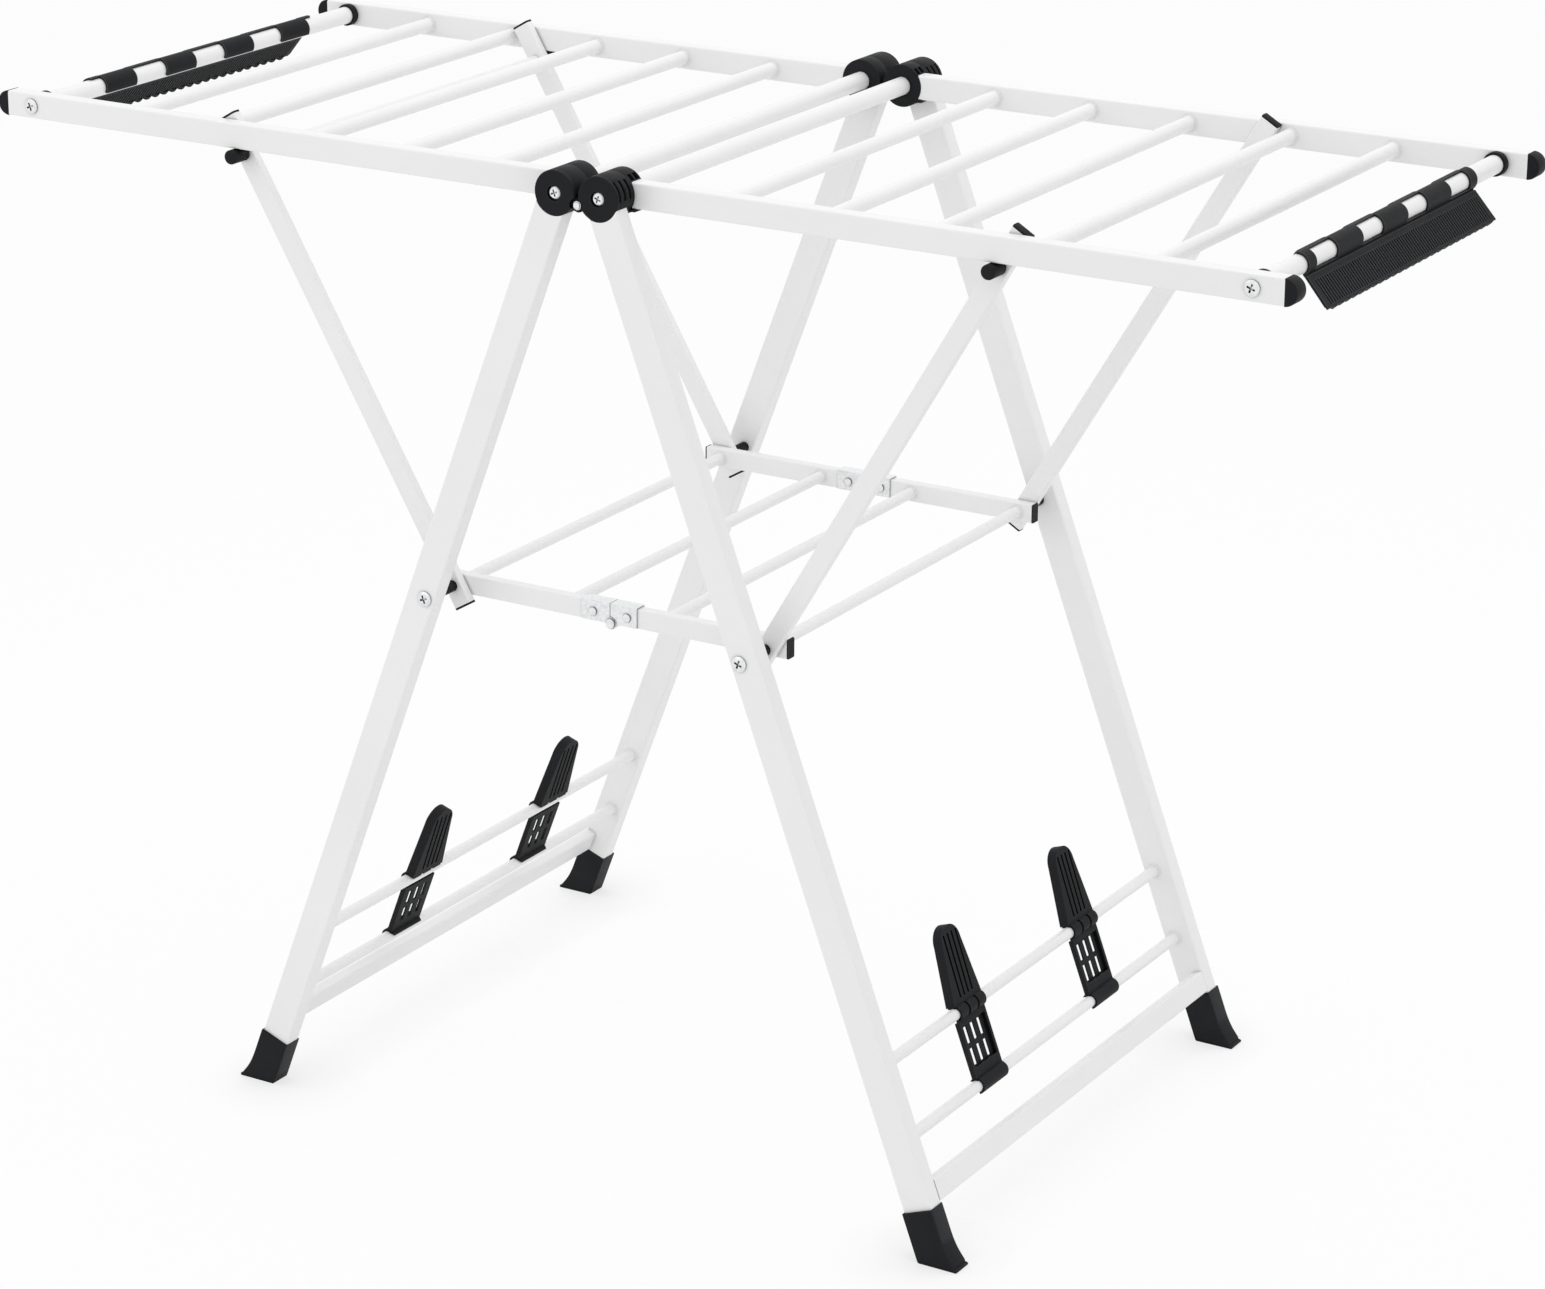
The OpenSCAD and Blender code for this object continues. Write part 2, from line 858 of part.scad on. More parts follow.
module strut_plugs(side)
  color(plastic)
    on_side(side)
      both_ends()
        in_strut()
          translate([0, strut_in + strut_t / 2, 0])
            for (z = [-strut_under, rod_reach + strut_over - plug_t])
              translate([0, 0, z]) {
                linear_extrude(plug_t)
                  rounded(strut_w, strut_t, strut_corner);
                translate([0, 0, z < 0 ? plug_t - 0.5 : -8])
                  linear_extrude(8.5)
                    plug_section(strut_w, strut_t, strut_corner, tube_wall);
              }

module cross_rod(side)
  color(paint)
    on_side(side)
      in_strut()
        along_y(0, rod_reach, rod_d / 2, -rod_end, rod_end);

module rod_caps(side)
  color(plastic)
    on_side(side)
      both_ends()
        in_strut()
          difference() {
            along_y(0, rod_reach, cap_d / 2, strut_out, cap_out);
            along_y(0, rod_reach, rod_d / 2 + run, strut_out - over, rod_end + run);
          }

// ---- Shelf -------------------------------------------------------------

module shelf_rails(side)
  color(paint)
    on_side(side)
      both_ends()
        difference() {
          along_x(pivot_gap, shelf_end - 1.5, shelf_y, bolt_z)
            tube_section(shelf_t, shelf_h, shelf_corner, shelf_wall);
          along_y(bolt_x, bolt_z, screw_r + run, shelf_in - over, shelf_out + over);
          along_y(rivet_at(side), bolt_z, rivet_r, shelf_in - over, shelf_out + over);
        }

module shelf_rungs(side)
  color(paint)
    on_side(side)
      for (x = [shelf_rung_x, bolt_x])
        tube_y(x, bolt_z, shelf_rung_d / 2, tube_wall, shelf_in);

module shelf_plugs(side)
  color(plastic)
    on_side(side)
      both_ends() {
        along_x(shelf_end - 1.5, shelf_end, shelf_y, bolt_z)
          rounded(shelf_t, shelf_h, shelf_corner);
        along_x(shelf_end - 9, shelf_end - 1, shelf_y, bolt_z)
          plug_section(shelf_t, shelf_h, shelf_corner, shelf_wall);
      }

// Left bracket: straight side plates whose lobes take the pivot rivet
function rivet_at(side) = side < 0 ? bracket_l - 11.5 : bracket_l - 13;

module bracket_side(x0, x1) {
  translate([x0, pivot_z - 0.6])
    square([x1 - x0, bolt_z + shelf_h / 2 + plate_t - pivot_z + 0.6]);
  translate([0, pivot_z])
    circle(lobe_r);
}

module bracket_holes(x) {
  along_y(0, pivot_z, rivet_r + run, shelf_in - 10, shelf_out + 10);
  along_y(x, bolt_z, rivet_r, shelf_in - 10, shelf_out + 10);
}

// Top plate over both sides, from x0 to x1
module bracket_top(x0, x1)
  translate([x0, shelf_in - plate_t, bolt_z + shelf_h / 2])
    cube([x1 - x0, shelf_t + 2 * plate_t, plate_t]);

module bracket_left()
  difference() {
    union() {
      for (y = [shelf_in, shelf_out + plate_t])
        translate([0, y, 0])
          rotate([90, 0, 0])
            linear_extrude(plate_t)
              bracket_side(-bracket_l - 2, seam - seam_gap);
      bracket_top(-bracket_l - 2, seam - seam_gap);
    }
    bracket_holes(-rivet_at(-1));
  }

// Right bracket: side plates level with the left ones and cut round their lobes,
// with an inner ear that steps in behind each lobe
module bracket_right()
  difference() {
    union() {
      difference() {
        for (y = [shelf_in, shelf_out + plate_t])
          translate([0, y, 0])
            rotate([90, 0, 0])
              linear_extrude(plate_t)
                bracket_side(seam, bracket_l - 2);
        along_y(0, pivot_z, lobe_r + 0.5, shelf_in - 10, shelf_out + 10);
      }
      intersection() {
        translate([0, shelf_out + plate_t, 0])
          rotate([90, 0, 0])
            linear_extrude(shelf_t + 2 * plate_t)
              bracket_side(seam, ear_end);
        translate([0, 0, bolt_z - shelf_h])
          linear_extrude(1.5 * shelf_h + plate_t / 2)
            for (m = [0, 1])
              translate([0, shelf_y])
                mirror([0, m])
                  polygon([
                    [-lobe_r - over, shelf_t / 2 - gap - plate_t],
                    [ear_end - 2, shelf_t / 2 - gap - plate_t],
                    [ear_end, shelf_t / 2],
                    [ear_end, shelf_t / 2 + 0.8],
                    [ear_end - 2, shelf_t / 2 + 0.8],
                    [ear_end - 3.4, shelf_t / 2 - gap],
                    [-lobe_r - over, shelf_t / 2 - gap]
                  ]);
      }
      bracket_top(seam, bracket_l - 2);
    }
    bracket_holes(rivet_at(1));
  }

module bracket(side)
  color(zinc)
    both_ends()
      if (side < 0)
        bracket_left();
      else
        bracket_right();

module bracket_rivets(side)
  color(zinc)
    on_side(side)
      both_ends() {
        x = rivet_at(side);
        along_y(x, bolt_z, rivet_r, shelf_in - plate_t - over, shelf_out + plate_t + over);
        along_y(x, bolt_z, 4, shelf_out + plate_t, shelf_out + plate_t + 1.5);
        along_y(x, bolt_z, 4, shelf_in - plate_t - 1.5, shelf_in - plate_t);
      }

module shelf_pivots()
  color(zinc)
    both_ends() {
      out = shelf_out + plate_t;
      in = shelf_in - plate_t;
      along_y(0, pivot_z, rivet_r, in - over, out + over);
      along_y(0, pivot_z, 4.8, out, out + 2);
      along_y(0, pivot_z, 4.8, in - 2, in);
    }

// ---- Assembly ----------------------------------------------------------

legs(-1);  // legs_left
legs(1);  // legs_right
leg_rungs(-1);  // leg_rungs_left
leg_rungs(1);  // leg_rungs_right
crossbar(-1);  // crossbar_left
crossbar(1);  // crossbar_right
feet(-1);  // feet_left
feet(1);  // feet_right
leg_sockets(-1);  // leg_sockets_left
leg_sockets(1);  // leg_sockets_right
hinge_discs(-1);  // hinge_discs_left
hinge_discs(1);  // hinge_discs_right
hinge_screws(-1);  // hinge_screws_left
hinge_screws(1);  // hinge_screws_right
hinge_rivets();
spacers(-1);  // spacers_left
spacers(1);  // spacers_right
pivot_bolts(-1, stud_end);  // pivot_bolts_left
pivot_bolts(1, strut_in);  // pivot_bolts_right
shoe_hooks(-1);  // shoe_hooks_left
shoe_hooks(1);  // shoe_hooks_right
rail_sockets(-1);  // rail_sockets_left
rail_sockets(1);  // rail_sockets_right
cross_tube(-1);  // cross_tube_left
cross_tube(1);  // cross_tube_right
wing_rail(-1, -1);  // rail_left_near
wing_rail(-1, 1);  // rail_left_far
wing_rail(1, -1);  // rail_right_near
wing_rail(1, 1);  // rail_right_far
wing_rungs(-1);  // wing_rungs_left
wing_rungs(1);  // wing_rungs_right
end_bar(-1);  // end_bar_left
end_bar(1);  // end_bar_right
collars(-1);  // collars_left
collars(1);  // collars_right
end_caps(-1);  // end_caps_left
end_caps(1);  // end_caps_right
end_screws(-1);  // end_screws_left
end_screws(1);  // end_screws_right
comb_clip(-1);  // comb_clip_left
comb_clip(1);  // comb_clip_right
struts(-1);  // struts_left
struts(1);  // struts_right
strut_plugs(-1);  // strut_plugs_left
strut_plugs(1);  // strut_plugs_right
cross_rod(-1);  // cross_rod_left
cross_rod(1);  // cross_rod_right
rod_caps(-1);  // rod_caps_left
rod_caps(1);  // rod_caps_right
shelf_rails(-1);  // shelf_rails_left
shelf_rails(1);  // shelf_rails_right
shelf_rungs(-1);  // shelf_rungs_left
shelf_rungs(1);  // shelf_rungs_right
shelf_plugs(-1);  // shelf_plugs_left
shelf_plugs(1);  // shelf_plugs_right
bracket(-1);  // bracket_left
bracket(1);  // bracket_right
bracket_rivets(-1);  // bracket_rivets_left
bracket_rivets(1);  // bracket_rivets_right
shelf_pivots();
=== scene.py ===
import json
import math

import bmesh
import bpy
from mathutils import Euler, Matrix, Vector


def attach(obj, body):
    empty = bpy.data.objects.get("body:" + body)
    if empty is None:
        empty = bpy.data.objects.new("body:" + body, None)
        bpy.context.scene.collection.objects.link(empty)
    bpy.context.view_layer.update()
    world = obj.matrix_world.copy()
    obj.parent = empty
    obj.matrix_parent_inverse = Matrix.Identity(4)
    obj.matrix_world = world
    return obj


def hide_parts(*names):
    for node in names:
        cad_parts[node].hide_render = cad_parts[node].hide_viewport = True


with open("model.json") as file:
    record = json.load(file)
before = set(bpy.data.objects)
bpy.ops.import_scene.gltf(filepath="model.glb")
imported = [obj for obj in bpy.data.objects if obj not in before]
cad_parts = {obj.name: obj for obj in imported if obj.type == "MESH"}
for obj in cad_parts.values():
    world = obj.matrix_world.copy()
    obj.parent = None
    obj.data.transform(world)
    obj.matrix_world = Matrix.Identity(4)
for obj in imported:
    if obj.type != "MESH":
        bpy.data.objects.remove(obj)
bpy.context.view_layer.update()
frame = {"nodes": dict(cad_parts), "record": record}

bl_info = {
    "name": "Folding drying rack finish",
    "version": (1, 0, 0),
    "blender": (4, 5, 0),
    "location": "View3D > Sidebar > Drying rack",
    "description": "Finishes the pieces of a gull-wing clothes drying rack and sets its stage",
    "category": "Object",
}

SOLIDS = frame["nodes"]
MM = 0.001

# All sizes below are in mm and degrees unless a comment gives another unit. x and z are those
# of the right side of the rack, and a face or a pair of faces is a distance from the middle.

# Leg tubes: lean, width, faces, where the axis meets the floor, and how far along the axis
# above the floor the tube ends
LEG_LEAN = 20.7
LEG_WIDTH = 32.0
LEG_FACES = (295.0, 315.0)
LEG_FOOT = 404.93
LEG_END = 16.5

# Boots: length along the leg, wall in front of and behind the leg, faces, reach of the toe and
# the heel from the foot of the leg, and the play of the leg in its socket
BOOT_LENGTH = 57.2
BOOT_WALL = 0.7
BOOT_FACES = (293.8, 318.0)
TOE = 25.0
HEEL = 16.5
BOOT_PLAY = 0.05
# Where the heel wall stops along the leg, and the step at its foot, back and up
HEEL_RISE = 11.0
HEEL_STEP = (1.6, 1.0)
# The front sweeps out to the toe: x from the front wall beside the foot of the leg, and z
TOE_SWEEP = ((-9.0, 30.0), (-6.6, 24.6), (-4.0, 19.4), (-1.2, 14.8), (2.0, 10.4))
# The toe ends in a rolled lip: x from the toe, and z
TOE_LIP = ((-3.4, 5.4), (-2.9, 3.6), (-0.2, 2.9), (0.4, 2.2), (0.3, 0.9), (-0.8, 0.0))

# Rungs that end on a flat face: moving body, solid that the beads are named after, tube
# radius, face, and x and z of each rung. A wing has five rungs in even steps.
WING_HEIGHT = 1007.0
FIRST_WING_RUNG = 132.8
WING_RUNG_STEP = 110.5
SHELF_HEIGHT = 575.0
WING_RUNGS = [(FIRST_WING_RUNG + WING_RUNG_STEP * i, WING_HEIGHT) for i in range(5)]
LEG_RUNGS = [(331.0, 184.3), (357.9, 113.2)]
SHELF_RUNGS = [(55.5, SHELF_HEIGHT), (182.0, SHELF_HEIGHT)]
WELDS = (
    ("{side}_wing", "wing_rungs", 7.5, 267.5, WING_RUNGS),
    ("{side}_leg_frame", "leg_rungs", 6.0, LEG_FACES[0], LEG_RUNGS),
    ("shelf_{side}", "shelf_rungs", 6.0, 244.6, SHELF_RUNGS),
)

# Weld fillets: corners of the section in shares of the leg length, out from the tube and along
# it, depth of the root in the tube, steps in a turn, and the ripples: how many in a turn, their
# share of the leg length and where they start in radians
WELD_SECTION = ((1.0, 0.0), (0.42, 0.34), (0.08, 1.0))
WELD_ROOT = 0.3
WELD_STEPS = 36
WELD_RIPPLES = ((9, 0.14, 0.0), (5, 0.06, 1.7))

# Rounding of a solid's copy: points closer than this are one, faces that differ by less than
# FLAT are one face, and edges sharper than SHARP are rounded
SAME_POINT = 0.002
FLAT = 0.6
SHARP = 32

# Stage, in metres and degrees: half side of the floor, what the lamps point at, and place, turn
# down, turn round and roll of the camera. Its shift is a share of the width of the view.
FLOOR_REACH = 14
LAMP_AIM = Vector((0, 0, 0.5))
CAMERA_PLACE = (2.2939, -3.8033, 2.0277)
CAMERA_DOWN = 18.43
CAMERA_ROUND = 32.16
CAMERA_ROLL = -0.087
CAMERA_SHIFT = (0.0685, -0.0481)

# ---- Colours and materials ---------------------------------------------------


def linear(hexcode):
    """sRGB hex colour as linear red, green, blue."""
    parts = [int(hexcode[i : i + 2], 16) / 255 for i in (1, 3, 5)]
    return tuple(c / 12.92 if c <= 0.04045 else ((c + 0.055) / 1.055) ** 2.4 for c in parts)


def rgba(colour, factor=1.0):
    """A colour property as the four numbers of a colour socket."""
    return (*[min(1.0, c * factor) for c in colour], 1.0)


def add(tree, kind, inputs=(), **settings):
    """Adds a node. inputs pairs a socket's name or number with a value or an output socket."""
    made = tree.nodes.new(kind)
    for name, value in settings.items():
        setattr(made, name, value)
    for name, value in dict(inputs).items():
        if isinstance(value, bpy.types.NodeSocket):
            tree.links.new(value, made.inputs[name])
        else:
            made.inputs[name].default_value = value
    return made


def seen_straight(tree):
    """1 for camera, mirror and see-through rays, 0 for the rays that light the rack."""
    path = add(tree, "ShaderNodeLightPath")
    shine = add(
        tree,
        "ShaderNodeMath",
        {0: path.outputs["Is Glossy Ray"], 1: path.outputs["Is Transmission Ray"]},
        operation="MAXIMUM",
    )
    return add(
        tree,
        "ShaderNodeMath",
        {0: path.outputs["Is Camera Ray"], 1: shine.outputs[0]},
        operation="MAXIMUM",
    ).outputs[0]


def painted_seam_shade(tree, colour, reach, depth):
    """The colour, darkened where another surface stands within reach in mm: painted shade in
    seams, slots and at the foot of a rivet. depth is how much it loses at most."""
    open_air = add(tree, "ShaderNodeAmbientOcclusion", {"Distance": reach * MM}, samples=4)
    kept = add(
        tree,
        "ShaderNodeMapRange",
        {
            "Value": open_air.outputs["AO"],
            "From Min": 0.35,
            "From Max": 0.95,
            "To Min": 1.0 - depth,
            "To Max": 1.0,
        },
    )
    darker = add(
        tree,
        "ShaderNodeVectorMath",
        {0: colour, 1: kept.outputs["Result"]},
        operation="MULTIPLY",
    )
    return darker.outputs["Vector"]


def painted_edge_highlights(tree, colour, pale, reach):
    """The colour, turning pale with painted highlights on ridges and edges that are thinner
    than reach in mm."""
    thin = add(
        tree,
        "ShaderNodeAmbientOcclusion",
        {"Distance": reach * MM},
        samples=4,
        inside=True,
        only_local=True,
    )
    share = add(
        tree,
        "ShaderNodeMapRange",
        {"Value": thin.outputs["AO"], "From Min": 0.85, "From Max": 0.35, "To Min": 0.0, "To Max": 1.0},
    )
    mixed = add(
        tree,
        "ShaderNodeMix",
        {"Factor": share.outputs["Result"], 6: colour, 7: rgba(pale)},
        data_type="RGBA",
    )
    return mixed.outputs[2]


def blank(name):
    """An empty node material and its tree."""
    material = bpy.data.materials.new(name)
    material.use_nodes = True
    material.node_tree.nodes.clear()
    return material, material.node_tree


def powder_coated_steel(colour):
    """White polyester powder coat on drawn steel tube: satin, with a faint orange-peel skin
    that breaks up long highlights, and slight clouding from handling."""
    material, tree = blank("powder_coated_steel")
    place = add(tree, "ShaderNodeTexCoord").outputs["Object"]
    # Clouding over about 150 mm
    cloud = add(tree, "ShaderNodeTexNoise", {"Vector": place, "Scale": 1 / (150 * MM), "Detail": 3.0})
    # Orange peel is about 1.5 mm across, drawn at 4 mm so that it shows
    peel = add(tree, "ShaderNodeTexNoise", {"Vector": place, "Scale": 1 / (4 * MM), "Detail": 2.0})
    # Fine rub marks, about 9 mm apart
    rub = add(
        tree,
        "ShaderNodeTexNoise",
        {"Vector": place, "Scale": 1 / (9 * MM), "Detail": 6.0, "Roughness": 0.7},
    )
    tint = add(
        tree,
        "ShaderNodeMix",
        {"Factor": cloud.outputs["Fac"], 6: rgba(colour, 0.955), 7: rgba(colour, 1.02)},
        data_type="RGBA",
    )
    marks = add(
        tree,
        "ShaderNodeMapRange",
        {"Value": rub.outputs["Fac"], "From Min": 0.62, "From Max": 0.8, "To Min": 0.0, "To Max": 0.12},
    )
    worn = add(
        tree,
        "ShaderNodeMix",
        {"Factor": marks.outputs["Result"], 6: tint.outputs[2], 7: rgba(linear("#C9C7C0"))},
        data_type="RGBA",
    )
    rough = add(
        tree,
        "ShaderNodeMapRange",
        {"Value": rub.outputs["Fac"], "From Min": 0.3, "From Max": 0.7, "To Min": 0.33, "To Max": 0.46},
    )
    bump = add(
        tree,
        "ShaderNodeBump",
        {"Height": peel.outputs["Fac"], "Strength": 0.06, "Distance": 0.3 * MM},
    )
    # Painted shade: the coat darkens within 4 mm of another surface, in seams and at joints
    shader = add(
        tree,
        "ShaderNodeBsdfPrincipled",
        {
            "Base Color": painted_seam_shade(tree, worn.outputs[2], 4.0, 0.3),
            "Roughness": rough.outputs["Result"],
            "IOR": 1.5,
            "Coat Weight": 0.12,
            "Coat Roughness": 0.22,
            "Normal": bump.outputs["Normal"],
        },
    )
    add(tree, "ShaderNodeOutputMaterial", {"Surface": shader.outputs["BSDF"]})
    return material


def moulded_polypropylene(colour, name="moulded_polypropylene", seam_shade_reach=5.0, highlight_tone="#303133"):
    """Black injection-moulded polypropylene: a fine spark-eroded skin, low sheen, and pale
    scuffs where pieces rub on the floor and on each other. seam_shade_reach is the reach of
    the painted shade in seams in mm, and highlight_tone the colour of the painted highlights on edges."""
    material, tree = blank(name)
    place = add(tree, "ShaderNodeTexCoord").outputs["Object"]
    # Flow marks about 45 mm across, where the melt ran into the mould
    flow = add(tree, "ShaderNodeTexNoise", {"Vector": place, "Scale": 1 / (45 * MM), "Detail": 4.0})
    # The spark-eroded grain is about 0.3 mm, drawn at 1.2 mm so that it shows
    grain = add(tree, "ShaderNodeTexNoise", {"Vector": place, "Scale": 1 / (1.2 * MM), "Detail": 3.0})
    # Scuffs about 6 mm apart
    scuff = add(
        tree,
        "ShaderNodeTexNoise",
        {"Vector": place, "Scale": 1 / (6 * MM), "Detail": 8.0, "Roughness": 0.75},
    )
    tint = add(
        tree,
        "ShaderNodeMix",
        {"Factor": flow.outputs["Fac"], 6: rgba(colour, 0.8), 7: rgba(colour, 1.3)},
        data_type="RGBA",
    )
    marks = add(
        tree,
        "ShaderNodeMapRange",
        {"Value": scuff.outputs["Fac"], "From Min": 0.64, "From Max": 0.82, "To Min": 0.0, "To Max": 0.3},
    )
    worn = add(
        tree,
        "ShaderNodeMix",
        {"Factor": marks.outputs["Result"], 6: tint.outputs[2], 7: rgba(linear("#6A6B6E"))},
        data_type="RGBA",
    )
    rough = add(
        tree,
        "ShaderNodeMapRange",
        {"Value": grain.outputs["Fac"], "From Min": 0.3, "From Max": 0.7, "To Min": 0.46, "To Max": 0.62},
    )
    bump = add(
        tree,
        "ShaderNodeBump",
        {"Height": grain.outputs["Fac"], "Strength": 0.14, "Distance": 0.15 * MM},
    )
    # Painted highlights turn thin edges and ridges pale
    highlighted = painted_edge_highlights(tree, worn.outputs[2], linear(highlight_tone), 1.2)
    # Painted shade darkens the plastic near other surfaces, in seams, slots and grooves
    shader = add(
        tree,
        "ShaderNodeBsdfPrincipled",
        {
            "Base Color": painted_seam_shade(tree, highlighted, seam_shade_reach, 0.9),
            "Roughness": rough.outputs["Result"],
            "IOR": 1.49,
            "Specular IOR Level": 0.1,
            "Normal": bump.outputs["Normal"],
        },
    )
    add(tree, "ShaderNodeOutputMaterial", {"Surface": shader.outputs["BSDF"]})
    return material


def ribbed_polypropylene(colour):
    """The same plastic on the comb plates, paler on the ridges with painted highlights, and
    darker in the grooves between them with painted shade."""
    # Painted shade in the narrow grooves, painted highlights on the ridges
    return moulded_polypropylene(colour, "ribbed_polypropylene", seam_shade_reach=1.1, highlight_tone="#56585A")


def zinc_plated_steel(colour):
    """Bright zinc plate on pressed steel: a cool metal with a soft shine, slightly mottled,
    with fine drawing marks."""
    material, tree = blank("zinc_plated_steel")
    place = add(tree, "ShaderNodeTexCoord").outputs["Object"]
    # Zinc crystals, drawn about 3 mm across
    mottle = add(tree, "ShaderNodeTexVoronoi", {"Vector": place, "Scale": 1 / (3 * MM)})
    # Drawing marks about 0.4 mm apart, drawn at 0.8 mm
    draw = add(tree, "ShaderNodeTexNoise", {"Vector": place, "Scale": 1 / (0.8 * MM), "Detail": 2.0})
    tint = add(
        tree,
        "ShaderNodeMix",
        {"Factor": mottle.outputs["Distance"], 6: rgba(colour, 1.05), 7: rgba(colour, 0.86)},
        data_type="RGBA",
    )
    rough = add(
        tree,
        "ShaderNodeMapRange",
        {
            "Value": mottle.outputs["Distance"],
            "From Min": 0.0,
            "From Max": 0.8,
            "To Min": 0.26,
            "To Max": 0.42,
        },
    )
    bump = add(
        tree,
        "ShaderNodeBump",
        {"Height": draw.outputs["Fac"], "Strength": 0.05, "Distance": 0.1 * MM},
    )
    # Painted shade darkens the zinc strongly within 3 mm of another surface, round heads, in slots and
    # seams
    shader = add(
        tree,
        "ShaderNodeBsdfPrincipled",
        {
            "Base Color": painted_seam_shade(tree, tint.outputs[2], 3.0, 0.97),
            "Metallic": 1.0,
            "Roughness": rough.outputs["Result"],
            "Normal": bump.outputs["Normal"],
        },
    )
    add(tree, "ShaderNodeOutputMaterial", {"Surface": shader.outputs["BSDF"]})
    return material


def painted_floor(colour):
    """Smooth white studio floor in matt paint, slightly uneven where the roller went. Cameras see
    it nearly white, so that only soft shade is left."""
    material, tree = blank("painted_floor")
    place = add(tree, "ShaderNodeTexCoord").outputs["Object"]
    # Roller marks about 40 mm across
    grain = add(tree, "ShaderNodeTexNoise", {"Vector": place, "Scale": 1 / (40 * MM), "Detail": 2.0})
    rough = add(
        tree,
        "ShaderNodeMapRange",
        {"Value": grain.outputs["Fac"], "To Min": 0.7, "To Max": 0.8},
    )
    matt = add(
        tree,
        "ShaderNodeBsdfPrincipled",
        {"Base Color": rgba(colour), "Roughness": rough.outputs["Result"], "Specular IOR Level": 0.1},
    )
    # Soft shade within 90 mm of the boots
    near = add(tree, "ShaderNodeAmbientOcclusion", {"Distance": 90 * MM}, samples=4)
    soft = add(
        tree,
        "ShaderNodeMapRange",
        {"Value": near.outputs["AO"], "From Min": 0.5, "From Max": 1.0, "To Min": 0.84, "To Max": 1.0},
    )
    glow = add(tree, "ShaderNodeEmission", {"Color": (1, 1, 1, 1), "Strength": soft.outputs["Result"]})
    # The rest of what a camera sees is the lit paint, so the rack's own shadow stays
    share = add(tree, "ShaderNodeMath", {0: seen_straight(tree), 1: 0.86}, operation="MULTIPLY")
    mixed = add(
        tree,
        "ShaderNodeMixShader",
        {0: share.outputs[0], 1: matt.outputs["BSDF"], 2: glow.outputs["Emission"]},
    )
    add(tree, "ShaderNodeOutputMaterial", {"Surface": mixed.outputs["Shader"]})
    return material


MATERIALS = {}


def finish_named(name, maker, colour):
    """The material of this name, made on first use."""
    if name not in MATERIALS:
        MATERIALS[name] = maker(colour)
    return MATERIALS[name]


def white(context):
    """Powder coat in the paint colour of the panel."""
    return finish_named("white", powder_coated_steel, context.scene.rack_colours.paint)


def black(context):
    """Moulded plastic in the plastic colour of the panel."""
    return finish_named("black", moulded_polypropylene, context.scene.rack_colours.plastic)


def ribbed(context):
    """Plastic of the comb plates in the plastic colour of the panel."""
    return finish_named("ribbed", ribbed_polypropylene, context.scene.rack_colours.plastic)


def zinc(context):
    """Plated steel in the zinc colour of the panel."""
    return finish_named("zinc", zinc_plated_steel, context.scene.rack_colours.zinc)


# ---- Shapes ------------------------------------------------------------------


def body_of(node):
    """The moving body that a solid belongs to."""
    for body, members in frame["record"]["behaviour"]["bodies"].items():
        if node in members:
            return body
    raise RuntimeError(f"no body holds {node}")


def shade(mesh, angle=38):
    """Smooth shading with hard edges above an angle in degrees."""
    mesh.shade_smooth()
    mesh.set_sharp_from_angle(angle=math.radians(angle))


def soften(node, radius, material, segments=2):
    """A copy of a solid with its sharp edges rounded, which stands for the solid."""
    bm = bmesh.new()
    bm.from_mesh(SOLIDS[node].data)
    bmesh.ops.remove_doubles(bm, verts=bm.verts, dist=SAME_POINT * MM)
    bmesh.ops.dissolve_limit(
        bm,
        angle_limit=math.radians(FLAT),
        use_dissolve_boundaries=False,
        verts=bm.verts,
        edges=bm.edges,
    )
    folds = [edge for edge in bm.edges if len(edge.link_faces) == 2]
    sharp = [edge for edge in folds if edge.calc_face_angle() > math.radians(SHARP)]
    bmesh.ops.bevel(
        bm,
        geom=sharp,
        offset=radius,
        offset_type="OFFSET",
        affect="EDGES",
        segments=segments,
        profile=0.5,
        material=-1,
        clamp_overlap=True,
        miter_outer="ARC",
    )
    mesh = bpy.data.meshes.new(node + "_soft")
    bm.to_mesh(mesh)
    bm.free()
    shade(mesh)
    piece = bpy.data.objects.new(node + "_soft", mesh)
    bpy.context.scene.collection.objects.link(piece)
    mesh.materials.clear()
    mesh.materials.append(material)
    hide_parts(node)
    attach(piece, body_of(node))
    return piece


def weld_bead(bm, centre, radius, side, size):
    """A rippled fillet round a tube of that radius along Y, where it meets the face at centre."""
    before = set(bm.verts)
    corners = [(out * size, along * size) for out, along in WELD_SECTION]
    corners = [(-WELD_ROOT, 0.0), *corners, (-WELD_ROOT, size)]
    section = [
        bm.verts.new(((radius + out) * MM, -side * along * MM, 0.0)) for out, along in corners
    ]
    edges = [bm.edges.new((section[i - 1], section[i])) for i in range(len(section))]
    bmesh.ops.spin(
        bm,
        geom=section + edges,
        cent=(0, 0, 0),
        axis=(0, 1, 0),
        angle=2 * math.pi,
        steps=WELD_STEPS,
        use_merge=True,
    )
    bead = list(set(bm.verts) - before)
    for vert in bead:
        ripple(vert, radius * MM)
    bmesh.ops.translate(bm, verts=bead, vec=Vector(centre) * MM)


def ripple(vert, radius):
    """Moves one point of a fillet round the Y axis out and along by the ripple at its place in
    the turn. Points inside the tube of that radius in metres stay at their depth."""
    turn = math.atan2(vert.co.z, vert.co.x)
    swell = 1 + sum(share * math.sin(count * turn + start) for count, share, start in WELD_RIPPLES)
    reach = math.hypot(vert.co.x, vert.co.z)
    if reach > radius:
        reach = radius + (reach - radius) * swell
    vert.co = (reach * math.cos(turn), vert.co.y * swell, reach * math.sin(turn))


